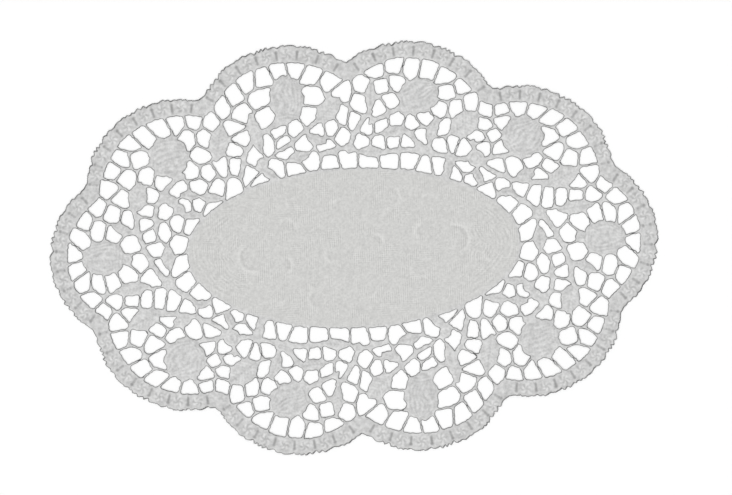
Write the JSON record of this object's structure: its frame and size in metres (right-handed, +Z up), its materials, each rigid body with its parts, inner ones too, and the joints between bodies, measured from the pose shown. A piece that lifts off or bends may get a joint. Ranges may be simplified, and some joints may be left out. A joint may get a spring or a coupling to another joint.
{
  "type": "paper lace doily",
  "caption": "Oval paper lace doily with a plain middle, a cut net of roses and leaves and a scalloped embossed border; lies flat under a plate or cake.",
  "frame": {"origin": "middle of the doily, on the surface that it lies on", "axes": "+X along the long side, +Y across it in the plane of the sheet, +Z up out of the embossed face"},
  "size_m": [0.368, 0.2484, 0.0017],
  "materials": {
    "paper": "matt, embossed"
  },
  "bodies": {
    "root": {"doily": "paper"}
  },
  "joints": []
}
